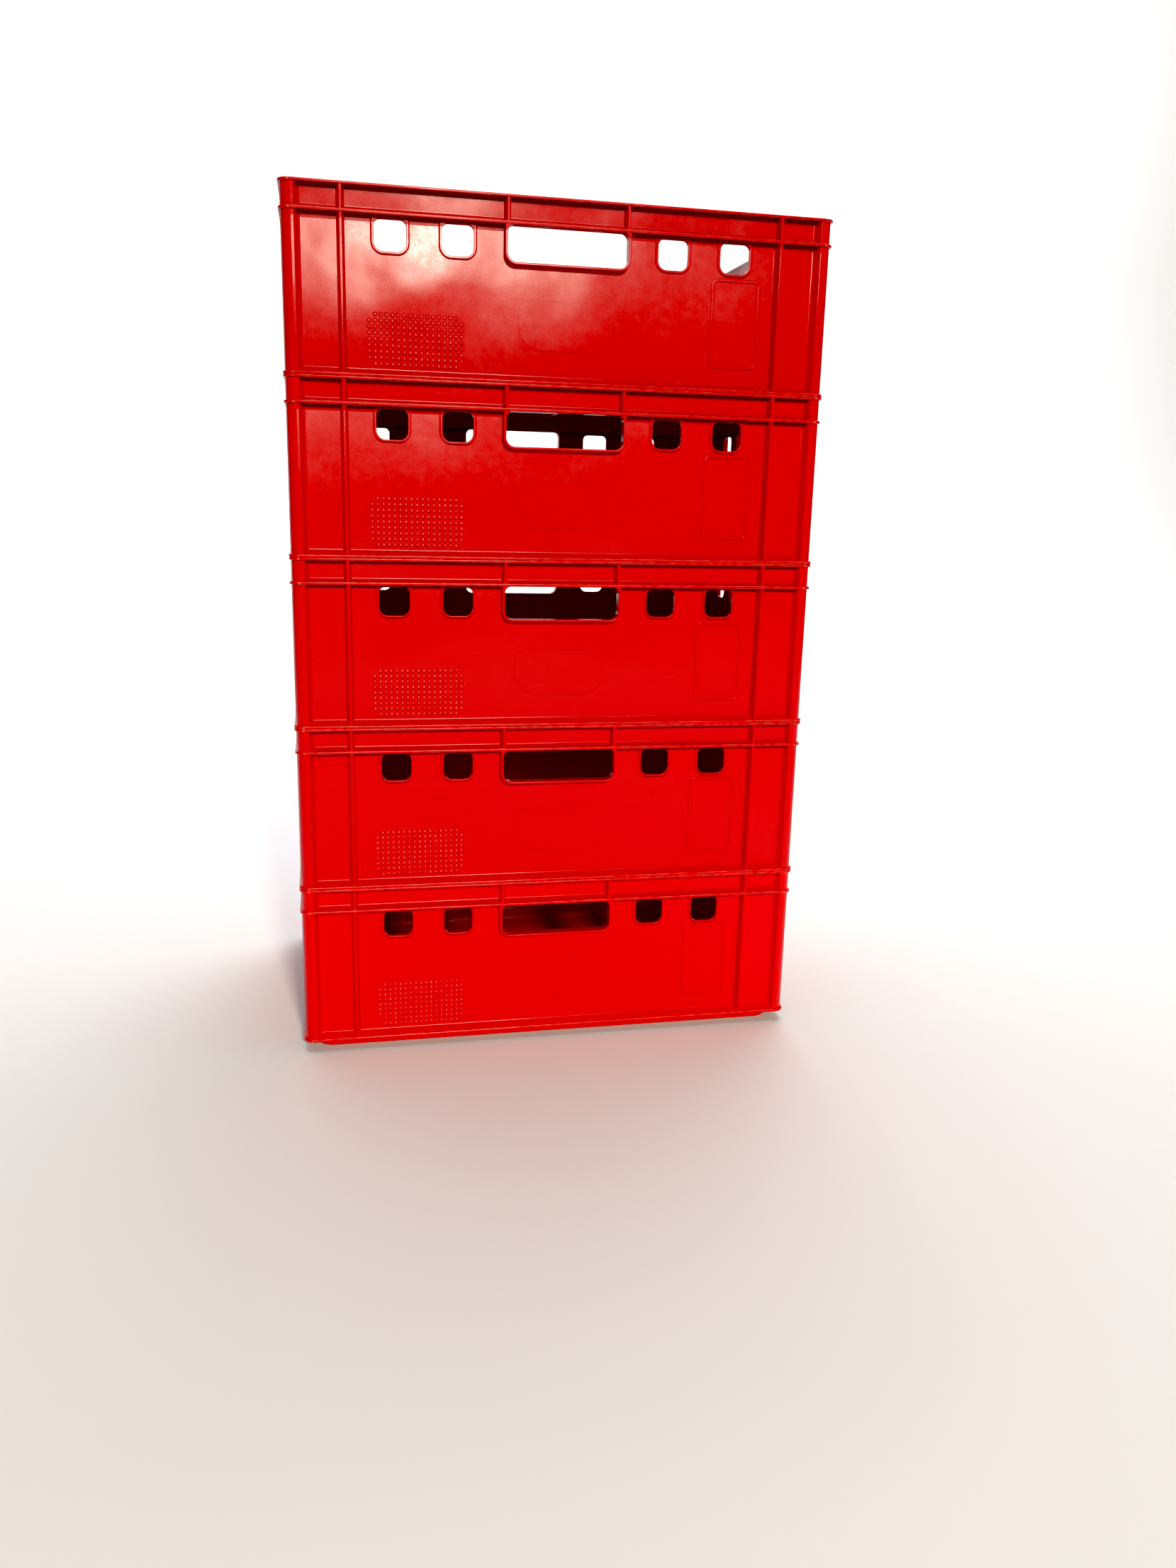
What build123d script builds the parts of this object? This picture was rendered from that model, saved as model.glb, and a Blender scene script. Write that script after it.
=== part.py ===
"""A stack of moulded transport crates, each standing in the rim of the one below.

Millimetres, +Z up. The origin is on the ground at the middle of the stack's
footprint: X runs along the long sides, Y along the short ones. Every crate is
one injection moulding, so each is one solid, and the crates are all alike.
"""

import os
from collections import namedtuple
from math import ceil, isclose

from build123d import *

os.makedirs("parts", exist_ok=True)

# ------------------------------------------------------------- the stack
crate_count = 5
nest_depth = 12.0  # how far a foot stands below its base lip
nest_clearance = 2.5  # between a foot and the walls of the crate below

# ---------------------------------------------------- one crate, overall
crate_length = 600.0
crate_width = 400.0
crate_height = 200.0

# ----------------------------------------------------- walls and corners
wall = 2.5
floor_thickness = 2.5
floor_radius = 5.0  # inside, where the floor meets the walls
inside_corner_radius = 22.0
panel_recess = 11.0  # from the front of the rim to the side panel
rim_corner_radius = 13.0
rim_lead_in = 1.0  # rounded inner edge of the rim
column_set_back = 2.5  # corner columns stand this far behind the rim
column_face = 16.0  # end of the crate to the edge of a column's flat face
column_root = 20.5  # end of the crate to where the column meets the panel
column_edge_radius = 1.5
column_root_radius = 3.0
column_skin = 3.0  # the columns are hollow, open from below

# ----------------------------------------------------------- the ledges
rim_thickness = 3.0
grip_ledge_drop = 29.0  # top of the rim to the underside of the grip ledge
grip_ledge_front = 3.0
grip_ledge_rise = 3.0  # how far its top climbs from the front to the panel
base_lip_front = 3.0
base_lip_rise = 5.0
nose_radius = 1.0
ledge_root_radius = 2.0  # where the top of a ledge meets the panel

# ------------------------------------------------------------- the ribs
rib_from_end = 62.0  # end of the crate to the middle of a full-height rib
rib_set_back = 0.8
rib_front = 2.8
rib_root = 8.5
short_rib_offset = 65.0  # middle of a side to the ribs above its handle
short_rib_root = 7.5
rib_edge_radius = 0.7

# ---------------------------------------------------------- the handles
handle_width = 131.0
handle_height = 36.6  # hangs from the grip ledge
handle_bottom_radius = 9.5
handle_top_radius = 7.0
flange = 2.8
flange_edge_radius = 0.9
frame_root = 2.5  # how far the frames of the openings run up into the grip ledge

# ------------------------------------------------------------ the vents
vent_width = 33.5
vent_height = 31.0
vent_below_ledge = 2.5
vent_pitch = 70.4
vent_min_gap = 8.0
vent_bottom_radius = 9.5
vent_top_radius = 6.5
collar = 3.6
collar_height = 2.0
collar_slope = 1.7
collar_inner_radius = 0.6

# ------------------------------------- raised fields on the long panels
plate_out = 0.5  # how far the plate stands out
label_width = 106.0
label_height = 59.1
label_bottom = 21.7
label_from_rib = 23.2
label_radius = 3.0
label_pad = 0.2  # how far the label field stands out
plate_width = 104.8
plate_height = 51.1
plate_bottom = 47.3
plate_top_radius = 12.0
plate_bottom_radius = 27.0
plate_step = 0.2  # a lower step fills out the plate's bottom corners
plate_step_radius = 6.4
card_width = 57.2
card_bottom = 37.9
card_from_rib = 18.6
card_gap = 0.9  # between the card frame and the vent collars
card_bead = 4.0
card_bead_height = 1.2
card_bead_edge = 1.1  # nearly half round
card_radius = 8.0

# -------------------------------------------------------- the underside
foot_wall = 3.0
foot_rib = 2.0
foot_cell = 82.0  # widest cell between the ribs under the floor
foot_edge_radius = 1.5

# ------------------------------------------------------- derived places
pitch = crate_height - nest_depth
near = 0.001  # places closer than this are the same
rim_x, rim_y = crate_length / 2, crate_width / 2
inside_floor = nest_depth + floor_thickness
rim_underside = crate_height - rim_thickness
grip_underside = crate_height - grip_ledge_drop
handle_bottom = grip_underside - handle_height
vent_top = grip_underside - vent_below_ledge
vent_bottom = vent_top - vent_height
collar_bottom = vent_bottom - collar
plate_top = plate_bottom + plate_height
rib_depth = panel_recess - rib_set_back
frame_top = grip_underside + frame_root
column_slope = (column_root - column_face) / (panel_recess - column_set_back)
slot_inset = column_set_back + column_skin
slot_end = column_face - column_skin + column_skin * column_slope
foot_inset = panel_recess + wall + nest_clearance

Side = namedtuple("Side", "angle half panel")
long_sides = [Side(angle, rim_x, rim_y - panel_recess) for angle in (0, 180)]
short_sides = [Side(angle, rim_y, rim_x - panel_recess) for angle in (90, 270)]
sides = long_sides + short_sides


def face_plane(side):
    """The outer face of a side's panel: x along the side, y up, z outwards."""
    outwards = Vector(0, -1, 0).rotate(Axis.Z, side.angle)
    along = Vector(1, 0, 0).rotate(Axis.Z, side.angle)
    return Plane(origin=outwards * side.panel, x_dir=along, z_dir=outwards)


def outline(inset, radius, mode=Mode.ADD):
    """The crate's plan in the open sketch, set in from the rim all round."""
    RectangleRounded(crate_length - 2 * inset, crate_width - 2 * inset, radius, mode=mode)


def in_plan(side, points, mode):
    """A polygon in the open sketch, given along a side and outwards from its middle."""
    with Locations(Location((0, 0, 0), (0, 0, side.angle))):
        Polygon(*[(s, -out) for s, out in points], align=None, mode=mode)


def corners_at(sketch, x, y):
    """Corners of a sketch that lie on the lines |X| = x or |Y| = y."""
    return [
        v
        for v in sketch.vertices()
        if isclose(abs(v.X), x, abs_tol=near) or isclose(abs(v.Y), y, abs_tol=near)
    ]


def arch(middle, width, bottom, top, radii, mode=Mode.ADD):
    """A rectangle in the open sketch, its lower and upper corners rounded apart."""
    left, right = middle - width / 2, middle + width / 2
    lower, upper = radii
    with BuildLine() as edge:
        FilletPolyline(
            (left, bottom),
            (right, bottom),
            (right, top),
            (left, top),
            radius=(lower, lower, upper, upper),
            close=True,
        )
    make_face(edge.edges(), mode=mode)


# ------------------------------------------------------------ the ledges
with BuildPart() as rim_ledge:
    with BuildSketch(Plane.XY.offset(rim_underside)):
        outline(0, rim_corner_radius)
    extrude(amount=rim_thickness)
    fillet(rim_ledge.edges().group_by(Axis.Z)[-1], nose_radius)
    fillet(rim_ledge.edges().group_by(Axis.Z)[0], nose_radius)


def sloped_ledge(underside, front, rise):
    """A shelf round the crate: an upright nose, its top climbing to the panel."""
    panel_radius = max(rim_corner_radius - panel_recess, nose_radius)
    top = underside + front + rise
    with BuildPart() as shelf:
        with BuildSketch(Plane.XY.offset(underside)):
            outline(0, rim_corner_radius)
        extrude(amount=front)
        with BuildSketch(Plane.XY.offset(underside + front)):
            outline(0, rim_corner_radius)
        with BuildSketch(Plane.XY.offset(top)):
            outline(panel_recess, panel_radius)
        loft(ruled=True)
        fillet(shelf.edges().group_by(Axis.Z)[2], nose_radius)
        fillet(shelf.edges().group_by(Axis.Z)[0], nose_radius)
        with BuildSketch(Plane.XY.offset(top)):
            outline(panel_recess, panel_radius)
        extrude(amount=2 * ledge_root_radius)
        seam = shelf.edges().filter_by_position(Axis.Z, top - near, top + near)
        fillet(seam, ledge_root_radius)
    return shelf.part


grip_ledge = sloped_ledge(grip_underside, grip_ledge_front, grip_ledge_rise)
base_lip = sloped_ledge(nest_depth, base_lip_front, base_lip_rise)

# ----------------------------------------- panels between corner columns
with BuildPart() as walls:
    with BuildSketch(Plane.XY.offset(nest_depth + nose_radius)) as walls_plan:
        outline(column_set_back, rim_corner_radius - column_set_back)
        for side in sides:
            root = side.half - column_root
            face = side.half - column_face
            front = side.panel + panel_recess
            in_plan(
                side,
                [
                    (-root, side.panel),
                    (root, side.panel),
                    (face, front - column_set_back),
                    (face, front),
                    (-face, front),
                    (-face, front - column_set_back),
                ],
                Mode.SUBTRACT,
            )
        edges = corners_at(walls_plan, rim_x - column_face, rim_y - column_face)
        fillet(edges, column_edge_radius)
        roots = corners_at(walls_plan, rim_x - column_root, rim_y - column_root)
        fillet(roots, column_root_radius)
    extrude(amount=rim_underside - nest_depth)

# ---------------------------------------------------------------- ribs
def rib_section(side, middle, root):
    """One rib in the open plan: wide where it leaves the panel, narrow in front."""
    front = side.panel + rib_depth
    points = [
        (middle - root / 2, side.panel - wall / 2),
        (middle - root / 2, side.panel),
        (middle - rib_front / 2, front),
        (middle + rib_front / 2, front),
        (middle + root / 2, side.panel),
        (middle + root / 2, side.panel - wall / 2),
    ]
    in_plan(side, points, Mode.ADD)


def rib_set(from_height, offsets, root):
    """Ribs on every side, from a height up into the rim."""
    with BuildPart() as ribs:
        with BuildSketch(Plane.XY.offset(from_height)) as ribs_plan:
            for side in sides:
                for middle in offsets(side):
                    rib_section(side, middle, root)
            fronts = corners_at(ribs_plan, rim_x - rib_set_back, rim_y - rib_set_back)
            fillet(fronts, rib_edge_radius)
        extrude(amount=rim_underside + nose_radius - from_height)
    return ribs.part


def full_rib_middles(side):
    """The full-height ribs of a side, one near each of its ends."""
    return (rib_from_end - side.half, side.half - rib_from_end)


def short_rib_middles(side):
    """The short ribs above a side's handle, the same on every side."""
    return (-short_rib_offset, short_rib_offset)


full_ribs = rib_set(nest_depth + nose_radius, full_rib_middles, rib_root)
short_ribs = rib_set(grip_underside + nose_radius, short_rib_middles, short_rib_root)


# ----------------------------------------------------- handles and vents
def handle_opening(mode=Mode.ADD):
    radii = (handle_bottom_radius, handle_top_radius)
    arch(0, handle_width, handle_bottom, grip_underside, radii, mode)


def vent_opening(middle, mode=Mode.ADD):
    radii = (vent_bottom_radius, vent_top_radius)
    arch(middle, vent_width, vent_bottom, vent_top, radii, mode)


def vent_middles(side):
    """Where the vents of a side stand, measured from its middle.

    A bay runs from the handle's flange to a full-height rib. It holds as many
    vents as fit at their pitch, and the group stands in its middle.
    """
    start = handle_width / 2 + flange
    end = side.half - rib_from_end - rib_front / 2
    room = end - start - 2 * vent_min_gap - vent_width - 2 * collar
    count = int(room // vent_pitch) + 1
    first = (start + end - (count - 1) * vent_pitch) / 2
    distances = [first + i * vent_pitch for i in range(count)]
    return [sign * distance for distance in distances for sign in (-1, 1)]


def front_faces(builder, side):
    """The outermost faces of a builder's part, seen from outside a side."""
    return builder.faces().group_by(Axis((0, 0, 0), face_plane(side).z_dir))[-1]


def handle_flange(side):
    """The deep frame round a handle opening, hung from the grip ledge."""
    with BuildPart() as frame:
        with BuildSketch(face_plane(side)):
            width = handle_width + 2 * flange
            radii = (handle_bottom_radius + flange, 0)
            arch(0, width, handle_bottom - flange, frame_top, radii)
            handle_opening(Mode.SUBTRACT)
        extrude(amount=rib_depth)
        fillet(front_faces(frame, side).edges(), flange_edge_radius)
    return frame.part


def vent_collar(side, middle):
    """The low frame round a vent: sloped outside, softly rounded inside."""
    with BuildPart() as frame:
        with BuildSketch(face_plane(side)):
            width = vent_width + 2 * collar
            radii = (vent_bottom_radius + collar, 0)
            arch(middle, width, collar_bottom, frame_top, radii)
            vent_opening(middle, Mode.SUBTRACT)
        extrude(amount=collar_height)
        chamfer(front_faces(frame, side)[0].outer_wire().edges(), collar_slope)
        fillet(front_faces(frame, side)[0].inner_wires()[0].edges(), collar_inner_radius)
    return frame.part


# -------------------------------------- raised fields on the long panels
def rounded_field(middle, bottom, width, height, radius, mode=Mode.ADD):
    with Locations((middle, bottom + height / 2)):
        RectangleRounded(width, height, radius, mode=mode)


def raised_fields(side):
    """The label pad, the bare plate and the bead that frames a card."""
    rib = side.half - rib_from_end
    label_middle = -rib + label_from_rib + label_width / 2
    card_middle = rib - card_from_rib - card_width / 2
    card_height = collar_bottom - card_gap - card_bottom
    bead_inside = (card_width - 2 * card_bead, card_height - 2 * card_bead)
    with BuildPart() as raised:
        with BuildSketch(face_plane(side)):
            radii = (plate_bottom_radius, plate_top_radius)
            arch(0, plate_width, plate_bottom, plate_top, radii)
        extrude(amount=plate_out)
        chamfer(front_faces(raised, side).edges(), plate_out / 2)
        with BuildSketch(face_plane(side)):
            radii = (plate_step_radius, plate_top_radius)
            arch(0, plate_width, plate_bottom, plate_top, radii)
        extrude(amount=plate_step)
        with BuildSketch(face_plane(side)):
            rounded_field(label_middle, label_bottom, label_width, label_height, label_radius)
        extrude(amount=label_pad)
        with BuildSketch(face_plane(side)):
            rounded_field(card_middle, card_bottom, card_width, card_height, card_radius)
            rounded_field(
                card_middle,
                card_bottom + card_bead,
                *bead_inside,
                card_radius - card_bead,
                Mode.SUBTRACT,
            )
        extrude(amount=card_bead_height)
        fillet(front_faces(raised, side).edges(), card_bead_edge)
    return raised.part


# ------------------------------------------------- the foot and its ribs
with BuildPart() as foot:
    with BuildSketch():
        outline(foot_inset, inside_corner_radius - nest_clearance)
    extrude(amount=nest_depth + nose_radius)
    fillet(foot.edges().group_by(Axis.Z)[0], foot_edge_radius)
    with BuildSketch():
        inset = foot_inset + foot_wall
        outline(inset, inside_corner_radius - nest_clearance - foot_wall)
        field_x, field_y = crate_length - 2 * inset, crate_width - 2 * inset
        columns, rows = ceil(field_x / foot_cell), ceil(field_y / foot_cell)
        with GridLocations(field_x / columns, 0, columns - 1, 1):
            Rectangle(foot_rib, field_y, mode=Mode.SUBTRACT)
        with GridLocations(0, field_y / rows, 1, rows - 1):
            Rectangle(field_x, foot_rib, mode=Mode.SUBTRACT)
    extrude(amount=nest_depth, mode=Mode.SUBTRACT)

# ------------------------------------------------- one moulding, complete
with BuildPart() as hollow:
    with BuildSketch(Plane.XY.offset(inside_floor)):
        outline(panel_recess + wall, inside_corner_radius)
    extrude(amount=crate_height - inside_floor)
    fillet(hollow.edges().group_by(Axis.Z)[0], floor_radius)

flanges = [handle_flange(side) for side in sides]
collars = [vent_collar(side, middle) for side in sides for middle in vent_middles(side)]
fields = [raised_fields(side) for side in long_sides]

with BuildPart() as moulding:
    add([walls.part, rim_ledge.part, grip_ledge, base_lip, full_ribs, short_ribs])
    add(flanges + collars + fields)
    add(hollow.part, mode=Mode.SUBTRACT)
    add(foot.part)
    # the openings go through each panel, inside their frames
    for side in sides:
        with BuildSketch(face_plane(side)):
            handle_opening()
            for middle in vent_middles(side):
                vent_opening(middle)
        extrude(amount=-2 * wall, mode=Mode.SUBTRACT)
    # the slots that hollow the corner columns from below
    with BuildSketch(Plane.XY.offset(nest_depth)):
        outline(slot_inset, rim_corner_radius - slot_inset)
        outline(panel_recess, inside_corner_radius + wall, Mode.SUBTRACT)
        Rectangle(crate_length - 2 * slot_end, crate_width, mode=Mode.SUBTRACT)
        Rectangle(crate_length, crate_width - 2 * slot_end, mode=Mode.SUBTRACT)
    extrude(amount=rim_underside - nest_depth, mode=Mode.SUBTRACT)
    inner_rim = moulding.faces().sort_by(Axis.Z)[-1].inner_wires()[0]
    fillet(inner_rim.edges(), rim_lead_in)

# ------------------------------------------------------------- the stack
for level in range(crate_count):
    with BuildPart() as crate:
        with Locations((0, 0, level * pitch)):
            add(moulding.part)
    name = f"crate_{level + 1}"
    crate.part.label = name
    export_step(crate.part, f"parts/{name}.step")
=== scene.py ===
# %% [markdown]
# # A stack of red transport crates
#
# Five identical crates stand in each other's rims. The solid model already has their shape, so this
# lesson gives them what a solid model lacks: the finish of moulded polyethylene, the field of small
# pimples that a label sticks to, and a plain studio to look at them in. The first cell loads the
# model as a fixed frame. Everything made later is placed from it, in metres, with +Z up.

# %% Load the solid model
import math
from collections import namedtuple

import bpy
import numpy as np
from mathutils import Matrix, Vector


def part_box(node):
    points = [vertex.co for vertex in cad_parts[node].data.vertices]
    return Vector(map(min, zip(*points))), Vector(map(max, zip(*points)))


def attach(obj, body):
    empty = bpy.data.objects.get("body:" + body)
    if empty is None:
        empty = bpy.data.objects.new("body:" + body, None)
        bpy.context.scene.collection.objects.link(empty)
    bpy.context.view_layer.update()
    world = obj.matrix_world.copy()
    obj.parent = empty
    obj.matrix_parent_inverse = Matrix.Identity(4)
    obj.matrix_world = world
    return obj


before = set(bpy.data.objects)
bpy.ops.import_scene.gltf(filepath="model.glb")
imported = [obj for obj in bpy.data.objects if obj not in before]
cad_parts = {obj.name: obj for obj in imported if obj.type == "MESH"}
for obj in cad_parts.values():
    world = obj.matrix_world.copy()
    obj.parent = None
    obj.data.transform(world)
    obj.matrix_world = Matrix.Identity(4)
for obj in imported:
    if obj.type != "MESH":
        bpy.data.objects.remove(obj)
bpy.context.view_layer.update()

MM = 0.001
crates = [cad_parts[name] for name in sorted(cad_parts)]
feet = [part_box(crate.name)[0].z for crate in crates]
lowest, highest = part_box(crates[0].name)
crate_length, crate_width = (round(size, 4) for size in (highest - lowest)[:2])
print("crates:", [crate.name for crate in crates])
print("each is", crate_length, "by", crate_width, "metres; their feet are at", np.round(feet, 3))

# %% [markdown]
# ## Two helpers for finishes
#
# Colours are easiest to write as the hex values of a paint chart, but a renderer adds light up in
# linear values. One function turns the first into the second, with the curve of the sRGB standard.
#
# Nodes could be drawn by hand in the shader editor, but then nobody can read why they are there. A
# second function adds a node, sets its values and links its inputs in one call, so that a recipe
# reads from top to bottom like a list of layers.

# %% Colours and nodes
def linear(hex_value):
    """A colour like "d40808" as linear red, green, blue and an opacity of one."""
    srgb = np.array([int(hex_value[i : i + 2], 16) for i in (0, 2, 4)]) / 255
    low, high = srgb / 12.92, ((srgb + 0.055) / 1.055) ** 2.4
    return (*np.where(srgb <= 0.04045, low, high), 1.0)


def add_node(tree, kind, inputs=None, **settings):
    """A new node. Each input is a value, a socket, or a node, which gives its first live output."""
    node = tree.nodes.new(kind)
    for name, value in settings.items():
        setattr(node, name, value)
    for name, value in (inputs or {}).items():
        if isinstance(value, bpy.types.Node):
            value = next(output for output in value.outputs if output.enabled)
        if isinstance(value, bpy.types.NodeSocket):
            tree.links.new(value, node.inputs[name])
        else:
            node.inputs[name].default_value = value
    return node


print("signal red in linear light:", [round(float(c), 3) for c in linear("d80a0a")[:3]])

# %% [markdown]
# ## Injection-moulded high-density polyethylene
#
# Crates like these are shot from red polyethylene granulate into a steel mould. Image textures
# would give the look, but they have to be stretched over every wall. Here each layer of the finish
# is worked out from the surface's own place in space instead, so it needs no pictures, it runs
# round corners without a seam, and it stays put when a crate is lifted. The layers come one by one:
# the pigment, the shape of the walls, the wear with its painted highlights, and the shade painted
# under the ledges.
#
# The pigment comes first. Each crate has its own red, a little darker from crate to crate towards
# the top. That step is painted shade: it stands for light that reaches the lower crates more than
# the upper ones, and the values are matched crate by crate. Why they differ is not known: age, sun
# or only the light may do it, so the values are simply matched, crate by crate. The red also drifts
# slightly over the walls.

# %% Pigment
Red = namedtuple("Red", "fresh faded rubbed")
# Each red is a little darker than the one below it, as painted shade.
reds = [  # from the bottom crate up
    Red("e10000", "e50101", "f4685a"),
    Red("d70000", "db0101", "ee6456"),
    Red("d20000", "d60101", "ea6052"),
    Red("cc0000", "d00101", "e65c4e"),
    Red("c40000", "c80101", "e2584a"),
]
drifts_per_metre = 9.0


def pigment(tree, place, red, seed):
    """Slow drifts between a fresh red and a slightly faded one."""
    drift = add_node(
        tree, "ShaderNodeTexNoise",
        {"Vector": place, "Scale": drifts_per_metre, "Detail": 3.0, "W": seed},
        noise_dimensions="4D",
    )
    return add_node(
        tree, "ShaderNodeMix", {"Factor": drift, "A": linear(red.fresh), "B": linear(red.faded)},
        data_type="RGBA",
    )


print("reds:", ", ".join(red.fresh for red in reds))

# %% [markdown]
# ## Walls that are not quite flat
#
# A moulded wall shrinks as it cools, and more slowly where it is thick. So it can bulge between the
# base lip and the grip ledge, turn a little wavy, and lean in the narrow band above the ledge. How
# far it does so here was never measured: the amounts below are guesses, set until the highlights
# fell near the right places. They come to a few millimetres in all, too little to see in an
# outline, but they decide where the walls catch the light and break a highlight up into clouds. The
# mesh could carry them, if it were cut into many small faces. Being so shallow, they are drawn by
# tilting the surface's normal instead. The grain is a guess too: a spark-eroded mould leaves such a
# fine one, and it makes walls shine like satin and not like glass.

# %% Bulge, waves and grain
bulge_radius = 1.2  # metres; a wall bulges outwards about 2 mm between its ledges
bulge_height, bulge_top = 94 * MM, 165 * MM  # its middle and its upper end, above the foot
band_slope = 0.035  # above the grip ledge the wall leans out by two degrees
wave_size = 110 * MM  # panels between their ribs buckle about this long
wave_depth = 6.0 * MM  # of the noise's full range; the waves themselves use about a third of it
# One pattern of waves for each crate. Those of the upper two were picked, each from twelve tries,
# for where their clouds of light fall.
wave_seeds = (0.0, 3.7, 7.4, 25.48, 45.48)
grain_size = 1.3 * MM  # real grain is near 0.1 mm, drawn coarser so that it shows
grain_depth = 0.022 * MM


def wall_relief(tree, place, height, foot, seed):
    """How far a wall stands out: a shallow barrel, h = -(z - middle)^2 / 2R, and waves on top."""
    below_ledge = add_node(
        tree, "ShaderNodeMath", {0: height, 1: foot + bulge_top}, operation="MINIMUM"
    )
    off_middle = add_node(
        tree, "ShaderNodeMath", {0: below_ledge, 1: foot + bulge_height}, operation="SUBTRACT"
    )
    squared = add_node(tree, "ShaderNodeMath", {0: off_middle, 1: 2.0}, operation="POWER")
    barrel = add_node(
        tree, "ShaderNodeMath", {0: squared, 1: -0.5 / bulge_radius}, operation="MULTIPLY"
    )
    above_ledge = add_node(
        tree, "ShaderNodeMath", {0: height, 1: below_ledge}, operation="SUBTRACT"
    )
    leaning = add_node(
        tree, "ShaderNodeMath", {0: above_ledge, 1: band_slope, 2: barrel},
        operation="MULTIPLY_ADD",
    )
    waves = add_node(
        tree, "ShaderNodeTexNoise",
        {"Vector": place, "Scale": 1 / wave_size, "Detail": 3.0, "Roughness": 0.24, "W": seed},
        noise_dimensions="4D",
    )
    return add_node(
        tree, "ShaderNodeMath", {0: waves, 1: wave_depth, 2: leaning}, operation="MULTIPLY_ADD"
    )


def eroded_grain(tree, place):
    """The fine grain that a spark-eroded mould leaves."""
    return add_node(
        tree, "ShaderNodeTexNoise",
        {"Vector": place, "Scale": 1 / grain_size, "Detail": 2.0, "Roughness": 0.6},
    )


print("grain is drawn", round(grain_size / MM, 1), "mm wide, waves", round(wave_size / MM), "mm")

# %% [markdown]
# ## Wear, and painted highlights on the edges
#
# Crates slide over floors and over each other. The fronts of the rims and the tips of the pimples
# are rubbed paler, in patches. That paler colour is partly wear and partly a painted highlight, for
# the glint along an edge. Long thin scuffs run along the walls. The plate under the handle stands
# on a step, and the step's bare corners are polished smooth. A painted mask could mark such places,
# crate by crate. It is less work to say where they are: the recipe measures how far the surface
# lies behind the front of the rim, which is the smaller of the distances along X and Y.

# %% Where the surface is
panel_recess = 11 * MM  # from the front of the rim to the panels
plate_half_width = 53 * MM
plate_step = 0.2 * MM  # how far the step under the plate stands out of the panel
rim_edges = (0.4 * MM, 0.3 * MM)  # rounded edges: how far behind the rim's front, and plus or minus

Spot = namedtuple("Spot", "height behind on_edge on_step")


def find_spot(tree, place, edges):
    """The surface's height, its distance behind the rim, and whether it is an edge or the step."""
    axis = add_node(tree, "ShaderNodeSeparateXYZ", {"Vector": place})
    x = add_node(tree, "ShaderNodeMath", {0: axis.outputs["X"]}, operation="ABSOLUTE")
    y = add_node(tree, "ShaderNodeMath", {0: axis.outputs["Y"]}, operation="ABSOLUTE")
    behind_x = add_node(tree, "ShaderNodeMath", {0: crate_length / 2, 1: x}, operation="SUBTRACT")
    behind_y = add_node(tree, "ShaderNodeMath", {0: crate_width / 2, 1: y}, operation="SUBTRACT")
    behind = add_node(tree, "ShaderNodeMath", {0: behind_x, 1: behind_y}, operation="MINIMUM")
    on_edge = add_node(
        tree, "ShaderNodeMath", {0: behind, 1: edges[0], 2: edges[1]}, operation="COMPARE"
    )
    step_face = crate_width / 2 - panel_recess + plate_step
    at_step = add_node(
        tree, "ShaderNodeMath", {0: y, 1: step_face, 2: plate_step / 2}, operation="COMPARE"
    )
    by_plate = add_node(tree, "ShaderNodeMath", {0: x, 1: plate_half_width}, operation="LESS_THAN")
    on_step = add_node(tree, "ShaderNodeMath", {0: at_step, 1: by_plate}, operation="MULTIPLY")
    return Spot(axis.outputs["Z"], behind, on_edge, on_step)


print("edges lie", round(rim_edges[0] / MM, 1), "mm behind the front of the rim")

# %% Scuffs, rubbed patches and painted edge highlights
scuff_length, scuff_width = 60 * MM, 1.2 * MM
scuff_range = (0.66, 0.8)  # the part of the streak pattern that shows as scuffs
scuff_dulling = 0.1  # how much rougher a scuff makes the satin
rub_size = 9 * MM
rub_range = (0.35, 0.65)  # where in the patch pattern an edge turns from bare to rubbed and painted paler
rub_dulling = 0.12  # how much rougher the walls are where the patches lie
satin_range = (0.1, 0.24)  # roughness of the grain, from its pits to its tops
smooth_roughness = 0.2  # of rubbed edges and of the polished step


def wear(tree, place, spot, grain, seed):
    """The roughness of the surface, and how far its colour is rubbed and painted paler."""
    stretched = add_node(
        tree, "ShaderNodeMapping",
        {"Vector": place, "Scale": (1 / scuff_length, 1 / scuff_length, 1 / scuff_width)},
    )
    streaks = add_node(
        tree, "ShaderNodeTexNoise", {"Vector": stretched, "Scale": 1.0, "Detail": 4.0, "W": seed},
        noise_dimensions="4D",
    )
    scuffs = add_node(
        tree, "ShaderNodeMapRange",
        {"Value": streaks, "From Min": scuff_range[0], "From Max": scuff_range[1]},
        interpolation_type="SMOOTHSTEP",
    )
    rub = add_node(
        tree, "ShaderNodeTexNoise",
        {"Vector": place, "Scale": 1 / rub_size, "Detail": 3.0, "W": seed},
        noise_dimensions="4D",
    )
    satin = add_node(
        tree, "ShaderNodeMapRange",
        {"Value": grain, "To Min": satin_range[0], "To Max": satin_range[1]},
    )
    scuffed = add_node(
        tree, "ShaderNodeMath", {0: scuffs, 1: scuff_dulling, 2: satin}, operation="MULTIPLY_ADD"
    )
    mottled = add_node(
        tree, "ShaderNodeMath", {0: rub, 1: rub_dulling, 2: scuffed}, operation="MULTIPLY_ADD"
    )
    smooth = add_node(
        tree, "ShaderNodeMath", {0: spot.on_edge, 1: spot.on_step}, operation="MAXIMUM"
    )
    roughness = add_node(
        tree, "ShaderNodeMix", {"Factor": smooth, "A": mottled, "B": smooth_roughness},
        data_type="FLOAT",
    )
    patches = add_node(
        tree, "ShaderNodeMapRange",
        {"Value": rub, "From Min": rub_range[0], "From Max": rub_range[1]},
    )
    rubbed = add_node(
        tree, "ShaderNodeMath", {0: patches, 1: spot.on_edge}, operation="MULTIPLY"
    )
    return roughness, rubbed


print("scuffs are", round(scuff_length / MM), "mm long")
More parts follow.
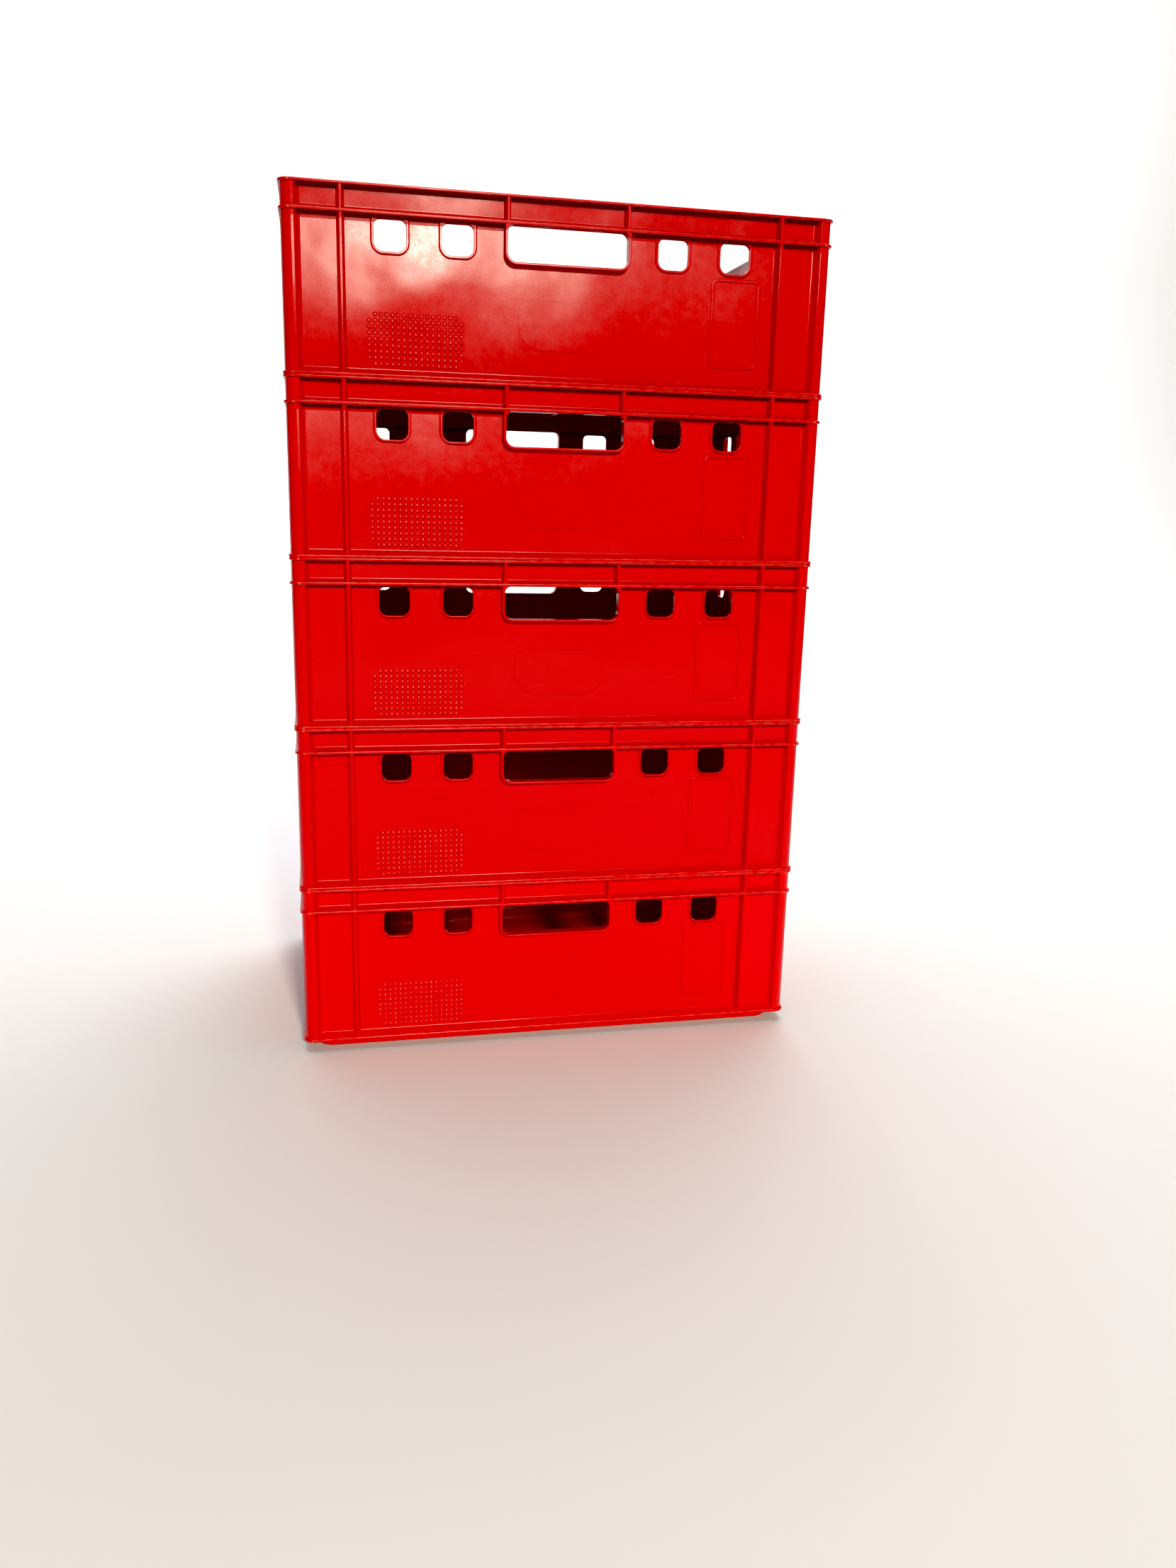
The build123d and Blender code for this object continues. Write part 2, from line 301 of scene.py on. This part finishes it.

# %% [markdown]
# ## Painted shade under the ledges
#
# Under a ledge the light is weak, and the recipe paints that shade into the colour: a dark red on
# the undersides themselves, which face down, and on the few millimetres of recessed wall just below
# them. An ambient occlusion node would find such corners too, but all of them alike. So one mask
# reads the surface's normal, and the other its height.

# %% Painted shade under the ledges
shade_colour = "3a0006"  # painted shade: a dark red, thin enough that the red still shows
shade_share = 0.75  # how far the painted shade covers the red
shade_reach = 7 * MM  # how far it hangs down below a ledge
ledge_undersides = (171 * MM, 197 * MM)  # of the grip ledge and the rim, above the foot
underside_range = (-0.3, -0.8)  # upward part of the normal, where the painted shade begins and is full
underside_slack = 1 * MM  # how far up inside a ledge the mask of the walls ends


def paint_shade(tree, spot, foot):
    """How much of the surface is painted with shade, from 0 to the share set above."""
    normal = add_node(tree, "ShaderNodeNewGeometry").outputs["Normal"]
    upward = add_node(tree, "ShaderNodeSeparateXYZ", {"Vector": normal}).outputs["Z"]
    shade_mask = add_node(
        tree, "ShaderNodeMapRange",
        {"Value": upward, "From Min": underside_range[0], "From Max": underside_range[1]},
    )
    recessed = add_node(
        tree, "ShaderNodeMath", {0: spot.behind, 1: panel_recess / 2}, operation="GREATER_THAN"
    )
    for underside in ledge_undersides:
        top = foot + underside
        fading = add_node(
            tree, "ShaderNodeMapRange",
            {"Value": spot.height, "From Min": top - shade_reach, "From Max": top},
            interpolation_type="SMOOTHERSTEP",
        )
        below = add_node(
            tree, "ShaderNodeMath", {0: spot.height, 1: top + underside_slack},
            operation="LESS_THAN",
        )
        hanging = add_node(tree, "ShaderNodeMath", {0: fading, 1: below}, operation="MULTIPLY")
        on_wall = add_node(tree, "ShaderNodeMath", {0: hanging, 1: recessed}, operation="MULTIPLY")
        shade_mask = add_node(tree, "ShaderNodeMath", {0: shade_mask, 1: on_wall}, operation="MAXIMUM")
    return add_node(tree, "ShaderNodeMath", {0: shade_mask, 1: shade_share}, operation="MULTIPLY")


# Painted shade: how far it reaches below a ledge.
print("grime hangs", round(shade_reach / MM), "mm below a ledge")

# %% [markdown]
# ## The layers together
#
# The layers meet in one glossy shader. Colour goes from the pigment over the rubbed patches, partly
# a painted highlight, to the painted shade under the ledges. The grain sits on top of the relief of
# the wall, so the second bump takes its normal from the first, and it is left out where the step is
# polished. One bump could carry both, but each has its own depth. Polyethylene bends light by 1.5,
# like most plastics, and a film of dust takes away about half of its gloss.

# %% The finish of a crate
def moulded_polyethylene(name, red, edges, foot, seed):
    """Red satin polyethylene: grain, bulging wavy walls, scuffs, rubbed edges painted light,
    painted shade.
    """
    material = bpy.data.materials.new(name)
    material.use_nodes = True
    tree = material.node_tree
    tree.nodes.clear()
    place = add_node(tree, "ShaderNodeTexCoord").outputs["Object"]
    spot = find_spot(tree, place, edges)
    grain = eroded_grain(tree, place)
    roughness, rubbed = wear(tree, place, spot, grain, seed)

    clean = pigment(tree, place, red, seed)
    # Rubbed edges and pimple tips are painted paler: partly wear, partly a painted highlight.
    paler = add_node(
        tree, "ShaderNodeMix", {"Factor": rubbed, "A": clean, "B": linear(red.rubbed)},
        data_type="RGBA",
    )
    # Painted shade under the ledges: the colour is darkened towards a dark red there.
    colour = add_node(
        tree, "ShaderNodeMix",
        {"Factor": paint_shade(tree, spot, foot), "A": paler, "B": linear(shade_colour)},
        data_type="RGBA",
    )

    relief = wall_relief(tree, place, spot.height, foot, seed)
    wall = add_node(tree, "ShaderNodeBump", {"Height": relief, "Distance": 1.0, "Strength": 1.0})
    grainy = add_node(tree, "ShaderNodeMath", {0: 1.0, 1: spot.on_step}, operation="SUBTRACT")
    surface = add_node(
        tree, "ShaderNodeBump",
        {"Height": grain, "Distance": grain_depth, "Strength": grainy, "Normal": wall},
    )
    shader = add_node(
        tree, "ShaderNodeBsdfPrincipled",
        {
            "Base Color": colour,
            "Roughness": roughness,
            "Normal": surface,
            "IOR": 1.5,
            "Specular IOR Level": 0.25,  # half the usual gloss, because of the dust
        },
    )
    add_node(tree, "ShaderNodeOutputMaterial", {"Surface": shader})
    return material


for level, crate in enumerate(crates):
    finish = moulded_polyethylene(
        f"moulded_polyethylene_{level + 1}", reds[level], rim_edges, feet[level], wave_seeds[level]
    )
    crate.data.materials.clear()
    crate.data.materials.append(finish)
    print(crate.name, "has the finish", finish.name)

# %% [markdown]
# ## The label field
#
# On the left of each long side, low down, there is a field of small round pimples. A paper label
# sticks to their tops only, and comes off in the wash. A bump pattern would look flat from the
# side, so each pimple is a real dome: a low cap with a short skirt that sinks into the panel.

# %% Sizes of the label field
pad_height = 0.2 * MM  # the field lies on a pad that stands out of the panel
field_middle_from_end = 138.2 * MM
field_middle_height = 51.2 * MM
pimple_columns, pimple_rows = 17, 9
pimple_pitch_x, pimple_pitch_z = 6.07 * MM, 6.17 * MM
pimple_radius = 2.6 * MM
pimple_height = 0.85 * MM
pimple_skirt = 0.4 * MM
pimple_spread = 0.06  # a guess: their heights differ by up to this share
pimple_seed = 5  # of the draw of those heights
pimple_tips = (panel_recess - pad_height - pimple_height, 0.14 * MM)  # rubbed and painted light, as rim_edges are
dome_sides, dome_rings = 10, 3
print("pimples:", round(2 * pimple_radius / MM, 1), "by", round(pimple_height / MM, 2), "mm")

# %% [markdown]
# ### One dome
#
# A scaled sphere would do, but half of it would be wasted inside the wall, and its tip would be
# crowded with faces. A profile turned round an axis puts the faces where they show. It is worked
# out as a grid: its rings one way, the turn the other. A pole closes it at the bottom and the top.

# %% One dome as a grid
def dome():
    """A closed dome on the plane z = 0, as points, quads and triangles.

    The profile runs from a pole under the surface, out along the flat base, up the skirt and over a
    parabola, h = H (1 - (r / R)^2), to the top pole. A point of ring k at turn t is
    (r_k cos t, r_k sin t, h_k), where r_k and h_k are the radius and height of the profile.
    """
    inwards = np.linspace(1, 0, dome_rings + 1)[:-1]
    radius = pimple_radius * np.r_[1, inwards]
    height = np.r_[-pimple_skirt, pimple_height * (1 - inwards**2)]
    turn = np.arange(dome_sides) * 2 * math.pi / dome_sides
    rings = np.stack(
        [
            np.outer(radius, np.cos(turn)),
            np.outer(radius, np.sin(turn)),
            np.outer(height, np.ones(dome_sides)),
        ],
        axis=-1,
    ).reshape(-1, 3)
    points = np.vstack([[0, 0, -pimple_skirt], rings, [0, 0, pimple_height]])
    here = 1 + np.arange(len(radius) * dome_sides).reshape(-1, dome_sides)
    ahead = np.roll(here, -1, axis=1)
    quads = np.stack([here[:-1], ahead[:-1], ahead[1:], here[1:]], axis=-1).reshape(-1, 4)
    bottom = np.stack([np.zeros_like(here[0]), ahead[0], here[0]], axis=-1)
    top = np.stack([here[-1], ahead[-1], np.full_like(here[-1], len(points) - 1)], axis=-1)
    return points, quads, np.vstack([bottom, top])


dome_points, dome_quads, dome_triangles = dome()
print("one dome:", len(dome_points), "points,", len(dome_quads) + len(dome_triangles), "faces")

# %% [markdown]
# ### A field on each long side
#
# The field has 17 by 9 places, without its four corners. An array modifier could repeat the dome,
# but it can't leave out corners or give every dome its own height. Adding all places to all points
# of the dome at once does both, and keeps a whole crate's domes in one piece, which rides on its
# crate. The other long side is the same after half a turn, so X and Y change sign together.

# %% Where the pimples stand
def pimple_places():
    """The middle of every pimple on a long side, seen from outside: along it and up from its foot.

    The grid has a pimple at every crossing except its four corners.
    """
    column, row = np.meshgrid(np.arange(pimple_columns), np.arange(pimple_rows))
    edge_column = (column == 0) | (column == pimple_columns - 1)
    edge_row = (row == 0) | (row == pimple_rows - 1)
    kept = ~(edge_column & edge_row)
    along = (column - (pimple_columns - 1) / 2) * pimple_pitch_x
    up = (row - (pimple_rows - 1) / 2) * pimple_pitch_z
    along = along - crate_length / 2 + field_middle_from_end
    up = up + field_middle_height
    return along[kept], up[kept]


print("pimples in a field:", len(pimple_places()[0]))


# %% A field of domes on both long sides
def label_fields(name, foot, draw):
    """Both label fields of one crate. Every dome is the same grid, turned to face outwards."""
    along, up = pimple_places()
    parts = []
    for side in (1, -1):
        scale = draw.uniform(1 - pimple_spread, 1 + pimple_spread, len(along))
        x = side * (along[:, None] + dome_points[None, :, 0])
        z = foot + up[:, None] + dome_points[None, :, 1]
        out = crate_width / 2 - panel_recess + pad_height + dome_points[None, :, 2] * scale[:, None]
        parts.append(np.stack([x, -side * out, z], axis=-1).reshape(-1, 3))
    first = np.arange(len(parts) * len(along))[:, None, None] * len(dome_points)
    quads = (first + dome_quads).reshape(-1, 4).tolist()
    triangles = (first + dome_triangles).reshape(-1, 3).tolist()
    mesh = bpy.data.meshes.new(name)
    mesh.from_pydata(np.vstack(parts).tolist(), [], quads + triangles)
    mesh.polygons.foreach_set("use_smooth", [True] * len(mesh.polygons))
    mesh.validate()
    piece = bpy.data.objects.new(name, mesh)
    bpy.context.scene.collection.objects.link(piece)
    return piece


draw = np.random.default_rng(pimple_seed)
for level, crate in enumerate(crates):
    field = label_fields(f"label_field_{level + 1}", feet[level], draw)
    finish = moulded_polyethylene(
        f"moulded_polyethylene_pimples_{level + 1}", reds[level], pimple_tips, feet[level],
        wave_seeds[level],
    )
    field.data.materials.append(finish)
    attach(field, crate.name)
    print(field.name, "has", len(field.data.polygons), "faces")

# %% [markdown]
# ## The studio
#
# A bare floor would show a horizon behind the crates. So a sheet of pale paper runs over the floor
# and up a wall behind the stack in one sweep, and no edge shows. A profile carried sideways makes
# it: a straight floor, a quarter circle and an upright wall.

# %% Paper sweep
sweep_half_width = 4.6  # metres, like the next four
sweep_front, sweep_bend, sweep_radius, sweep_height = -5.0, 2.2, 1.8, 6.0
bend_steps = 32


def paper_sweep():
    """A profile carried along X: straight floor, a quarter circle, then an upright wall.

    A point of the bend at turn t is (bend + R sin t, R (1 - cos t)), in Y and Z.
    """
    bend = np.linspace(0, math.pi / 2, bend_steps + 1)
    profile = np.vstack(
        [
            [[sweep_front, 0.0]],
            np.stack(
                [sweep_bend + sweep_radius * np.sin(bend), sweep_radius * (1 - np.cos(bend))],
                axis=-1,
            ),
            [[sweep_bend + sweep_radius, sweep_height]],
        ]
    )
    across = np.array([-sweep_half_width, sweep_half_width])
    x, y = np.meshgrid(across, profile[:, 0])
    z = np.repeat(profile[:, 1:], 2, axis=1)
    points = np.stack([x, y, z], axis=-1).reshape(-1, 3)
    rows = np.arange(len(profile) - 1) * 2
    faces = np.stack([rows, rows + 1, rows + 3, rows + 2], axis=-1)
    mesh = bpy.data.meshes.new("paper_sweep")
    mesh.from_pydata(points.tolist(), [], faces.tolist())
    mesh.polygons.foreach_set("use_smooth", [True] * len(mesh.polygons))
    sheet = bpy.data.objects.new("paper_sweep", mesh)
    bpy.context.scene.collection.objects.link(sheet)
    return sheet


def matt_paper():
    """Uncoated white paper, pressed and not polished: it has no gloss to speak of."""
    material = bpy.data.materials.new("matt_paper")
    material.use_nodes = True
    shader = material.node_tree.nodes["Principled BSDF"]
    shader.inputs["Base Color"].default_value = linear("f4f3f1")
    shader.inputs["Roughness"].default_value = 0.95
    shader.inputs["Specular IOR Level"].default_value = 0.1
    return material


floor = paper_sweep()
floor.data.materials.append(matt_paper())
print("paper sweep:", len(floor.data.polygons), "strips")

# %% [markdown]
# ## Light
#
# The key light stands far in front, a little to the right and about 20 degrees up. It draws a thin
# shadow under every ledge and is what the satin walls mirror, as a soft hot spot on the upper
# crates. Two wide soft lights keep the studio pale: one hangs overhead, and one behind the stack is
# turned to the paper, where it can't shine on the front of the crates. An evenly bright room would
# be simpler, but it leaves no shadow under a ledge and nothing for the satin to mirror.

# %% Lights
stack_middle = np.array([0.0, 0.0, 0.5])
key_direction = np.array([0.061, -0.938, 0.342])  # from the stack to the lamp
key_distance = 7.0  # metres


def area_light(name, position, target, size, power, colour):
    """A square soft light that faces a target."""
    light = bpy.data.lights.new(name, "AREA")
    light.color = linear(colour)[:3]
    light.size = size
    light.energy = power
    lamp = bpy.data.objects.new(name, light)
    bpy.context.scene.collection.objects.link(lamp)
    lamp.location = position
    aim = np.asarray(target) - np.asarray(position)
    lamp.rotation_euler = (
        math.atan2(math.hypot(aim[0], aim[1]), -aim[2]),
        0.0,
        math.atan2(-aim[0], aim[1]),
    )
    print(name, "at", [round(float(c), 2) for c in position], "with", power, "watts")


area_light(
    "key_light", position=stack_middle + key_distance * key_direction, target=stack_middle,
    size=0.55, power=345.0, colour="fff4de",
)
area_light(
    "backdrop_light", position=(1.3, 2.1, 3.6), target=(1.3, 4.2, 0.9),
    size=3.0, power=130.0, colour="f6f9ff",
)
area_light(
    "top_light", position=(0.0, 0.9, 4.5), target=(0.0, 0.9, 0.0),
    size=4.0, power=110.0, colour="f4f8ff",
)

# %% [markdown]
# ## The air of the room
#
# The background of the world is what a ray meets when it misses everything. It gives the crates
# only a faint even light, because more would fill up the shadows inside them. Yet past the edge of
# the paper it has to look as white as the paper does. So its strength depends on who looks: it is
# bright for the camera and dim for every other ray. The last lines raise the image's black point.

# %% The air of the room
air_light = 0.12  # how brightly the room lights the crates
air_seen = 1.15  # how bright it looks past the edge of the paper: white, like lit paper
haze = (0.0, 0.018, 0.015)  # green and blue below these are drawn as black, to keep the reds pure

world = bpy.data.worlds.new("studio_air")
world.use_nodes = True
air = world.node_tree.nodes["Background"]
air.inputs["Color"].default_value = linear("f2f4f8")
seen = add_node(world.node_tree, "ShaderNodeLightPath").outputs["Is Camera Ray"]
strength = add_node(
    world.node_tree, "ShaderNodeMapRange", {"Value": seen, "To Min": air_light, "To Max": air_seen}
)
world.node_tree.links.new(strength.outputs["Result"], air.inputs["Strength"])
bpy.context.scene.world = world

view_settings = bpy.context.scene.view_settings
view_settings.view_transform = "Standard"
view_settings.use_curve_mapping = True
view_settings.curve_mapping.black_level = haze
view_settings.curve_mapping.update()
print("black level:", [round(c, 3) for c in view_settings.curve_mapping.black_level])

# %% [markdown]
# ## Camera
#
# The camera looks at one long side from about the height of the fourth crate, a little downwards,
# and stands so close that the stack tapers towards its foot. A constraint could keep it aimed at
# the stack, but then it couldn't be tilted freely. So its direction is three turns, one after the
# other: towards the right, downwards, and a slight tilt of the frame.

# %% Camera
camera_position = (-0.26315, -1.54853, 0.64324)
camera_turn, camera_dip, camera_tilt = -12.45, -13.25, -1.43  # degrees
camera_lens, camera_sensor = 27.65, 36.0  # millimetres, on the long side of the frame
level_view = 90  # degrees about X that bring a camera from straight down to level


def turned(axis, degrees):
    """A rotation matrix about one axis."""
    return Matrix.Rotation(math.radians(degrees), 3, axis)


lens = bpy.data.cameras.new("camera")
lens.lens = camera_lens
lens.sensor_width = camera_sensor
camera = bpy.data.objects.new("camera", lens)
bpy.context.scene.collection.objects.link(camera)
camera.location = camera_position
look = turned("Z", camera_turn) @ turned("X", camera_dip) @ turned("Y", camera_tilt)
camera.rotation_euler = (look @ turned("X", level_view)).to_euler()
bpy.context.scene.camera = camera
print("camera at", camera_position)
